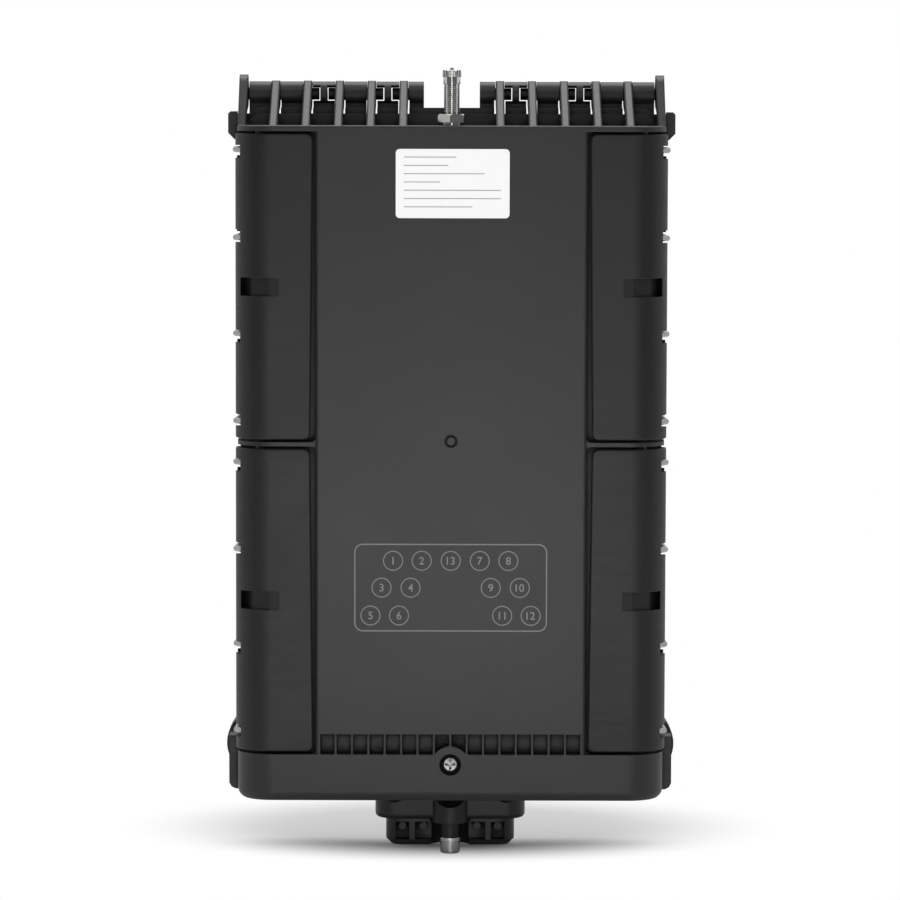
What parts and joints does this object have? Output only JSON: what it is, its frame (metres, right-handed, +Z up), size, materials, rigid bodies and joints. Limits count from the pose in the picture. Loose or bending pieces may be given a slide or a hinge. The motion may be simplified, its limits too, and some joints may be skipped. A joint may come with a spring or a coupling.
{
  "type": "fibre distribution box",
  "caption": "Black moulded fibre distribution box with a top-hinged front cover, long side latches with wire bails, capped drop ports in a bottom skirt, a trunk gland and a pressure valve.",
  "frame": {"origin": "centre of the four rear mounting bosses, on their contact plane", "axes": "+X to the right seen from the front, +Y towards the wall, +Z up"},
  "size_m": [0.2322, 0.11, 0.4019],
  "materials": {
    "black_housing": "moulded black, fine matte grain",
    "black_caps": "moulded black, smooth matt",
    "adapter_plastic": "moulded dark grey",
    "hinge_pins": "smooth black polymer pins",
    "steel": "bright stainless steel",
    "plated_valve": "nickel plated, slightly satin",
    "rubber": "black silicone rubber",
    "brass": "turned brass",
    "tray_plastic": "light grey moulded plastic",
    "clear_lid": "clear smoked polycarbonate",
    "splitter_case": "off-white plastic"
  },
  "bodies": {
    "base": {"rear_shell": "black_housing", "shell_gasket": "rubber", "mount_inserts": "brass", "port_adapters": "adapter_plastic", "port_cap_01": "black_caps", "port_cap_02": "black_caps", "port_cap_03": "black_caps", "port_cap_04": "black_caps", "port_cap_05": "black_caps", "port_cap_06": "black_caps", "port_cap_07": "black_caps", "port_cap_08": "black_caps", "port_cap_09": "black_caps", "port_cap_10": "black_caps", "port_cap_11": "black_caps", "port_cap_12": "black_caps", "port_cap_13": "black_caps", "gland_body": "black_housing", "gland_seal": "rubber", "gland_clamp": "black_housing", "trunk_plugs": "rubber", "clamp_bolt": "steel", "bolt_sleeve": "black_housing", "bolt_washer": "steel", "spring_washer": "steel", "splice_tray": "tray_plastic", "tray_lid": "clear_lid", "splitter": "splitter_case", "tray_screws": "steel"},
    "cover": {"front_cover": "black_housing", "cover_screw": "steel", "valve_body": "plated_valve", "valve_washer": "plated_valve", "valve_nut": "plated_valve", "hinge_pin_inner_left": "hinge_pins", "hinge_pin_inner_right": "hinge_pins", "hinge_pin_middle_left": "hinge_pins", "hinge_pin_middle_right": "hinge_pins", "hinge_pin_outer_left": "hinge_pins", "hinge_pin_outer_right": "hinge_pins", "pivot_pin_upper_left": "hinge_pins", "pivot_pin_upper_right": "hinge_pins", "pivot_pin_lower_left": "hinge_pins", "pivot_pin_lower_right": "hinge_pins"},
    "valve_cap": {"valve_cap": "plated_valve"},
    "latch_upper_left": {"latch_lever_upper_left": "black_housing"},
    "bail_upper_top_left": {"wire_bail_upper_top_left": "steel"},
    "bail_upper_bottom_left": {"wire_bail_upper_bottom_left": "steel"},
    "latch_upper_right": {"latch_lever_upper_right": "black_housing"},
    "bail_upper_top_right": {"wire_bail_upper_top_right": "steel"},
    "bail_upper_bottom_right": {"wire_bail_upper_bottom_right": "steel"},
    "latch_lower_left": {"latch_lever_lower_left": "black_housing"},
    "bail_lower_top_left": {"wire_bail_lower_top_left": "steel"},
    "bail_lower_bottom_left": {"wire_bail_lower_bottom_left": "steel"},
    "latch_lower_right": {"latch_lever_lower_right": "black_housing"},
    "bail_lower_top_right": {"wire_bail_lower_top_right": "steel"},
    "bail_lower_bottom_right": {"wire_bail_lower_bottom_right": "steel"}
  },
  "joints": [
    {"name": "cover_hinge", "type": "hinge", "parent": "base", "child": "cover", "pos_m": [0, -0.068, 0.1847], "axis": [-1, 0, 0], "range_deg": [0, 115]},
    {"name": "valve_cap_turn", "type": "hinge", "parent": "cover", "child": "valve_cap", "pos_m": [0, -0.097, 0.195], "axis": [0, 0, 1], "continuous": true},
    {"name": "latch_upper_left_pivot", "type": "hinge", "parent": "cover", "child": "latch_upper_left", "pos_m": [-0.1046, -0.086, 0.08887], "axis": [0, 0, -1], "range_deg": [0, 100]},
    {"name": "bail_upper_top_left_pivot", "type": "hinge", "parent": "latch_upper_left", "child": "bail_upper_top_left", "pos_m": [-0.1025, -0.095, 0.1349], "axis": [0, 0, -1], "range_deg": [-100, 0]},
    {"name": "bail_upper_bottom_left_pivot", "type": "hinge", "parent": "latch_upper_left", "child": "bail_upper_bottom_left", "pos_m": [-0.1025, -0.095, 0.04285], "axis": [0, 0, -1], "range_deg": [-100, 0]},
    {"name": "latch_upper_right_pivot", "type": "hinge", "parent": "cover", "child": "latch_upper_right", "pos_m": [0.1046, -0.086, 0.08887], "axis": [0, 0, 1], "range_deg": [0, 100]},
    {"name": "bail_upper_top_right_pivot", "type": "hinge", "parent": "latch_upper_right", "child": "bail_upper_top_right", "pos_m": [0.1025, -0.095, 0.1349], "axis": [0, 0, 1], "range_deg": [-100, 0]},
    {"name": "bail_upper_bottom_right_pivot", "type": "hinge", "parent": "latch_upper_right", "child": "bail_upper_bottom_right", "pos_m": [0.1025, -0.095, 0.04285], "axis": [0, 0, 1], "range_deg": [-100, 0]},
    {"name": "latch_lower_left_pivot", "type": "hinge", "parent": "cover", "child": "latch_lower_left", "pos_m": [-0.1046, -0.086, -0.06778], "axis": [0, 0, -1], "range_deg": [0, 100]},
    {"name": "bail_lower_top_left_pivot", "type": "hinge", "parent": "latch_lower_left", "child": "bail_lower_top_left", "pos_m": [-0.1025, -0.095, -0.02175], "axis": [0, 0, -1], "range_deg": [-100, 0]},
    {"name": "bail_lower_bottom_left_pivot", "type": "hinge", "parent": "latch_lower_left", "child": "bail_lower_bottom_left", "pos_m": [-0.1025, -0.095, -0.1138], "axis": [0, 0, -1], "range_deg": [-100, 0]},
    {"name": "latch_lower_right_pivot", "type": "hinge", "parent": "cover", "child": "latch_lower_right", "pos_m": [0.1046, -0.086, -0.06778], "axis": [0, 0, 1], "range_deg": [0, 100]},
    {"name": "bail_lower_top_right_pivot", "type": "hinge", "parent": "latch_lower_right", "child": "bail_lower_top_right", "pos_m": [0.1025, -0.095, -0.02175], "axis": [0, 0, 1], "range_deg": [-100, 0]},
    {"name": "bail_lower_bottom_right_pivot", "type": "hinge", "parent": "latch_lower_right", "child": "bail_lower_bottom_right", "pos_m": [0.1025, -0.095, -0.1138], "axis": [0, 0, 1], "range_deg": [-100, 0]}
  ],
  "couplings": [
    {"joint": "bail_upper_top_left_pivot", "follows": "latch_upper_left_pivot", "ratio": -1},
    {"joint": "bail_upper_bottom_left_pivot", "follows": "latch_upper_left_pivot", "ratio": -1},
    {"joint": "bail_upper_top_right_pivot", "follows": "latch_upper_right_pivot", "ratio": -1},
    {"joint": "bail_upper_bottom_right_pivot", "follows": "latch_upper_right_pivot", "ratio": -1},
    {"joint": "bail_lower_top_left_pivot", "follows": "latch_lower_left_pivot", "ratio": -1},
    {"joint": "bail_lower_bottom_left_pivot", "follows": "latch_lower_left_pivot", "ratio": -1},
    {"joint": "bail_lower_top_right_pivot", "follows": "latch_lower_right_pivot", "ratio": -1},
    {"joint": "bail_lower_bottom_right_pivot", "follows": "latch_lower_right_pivot", "ratio": -1}
  ]
}
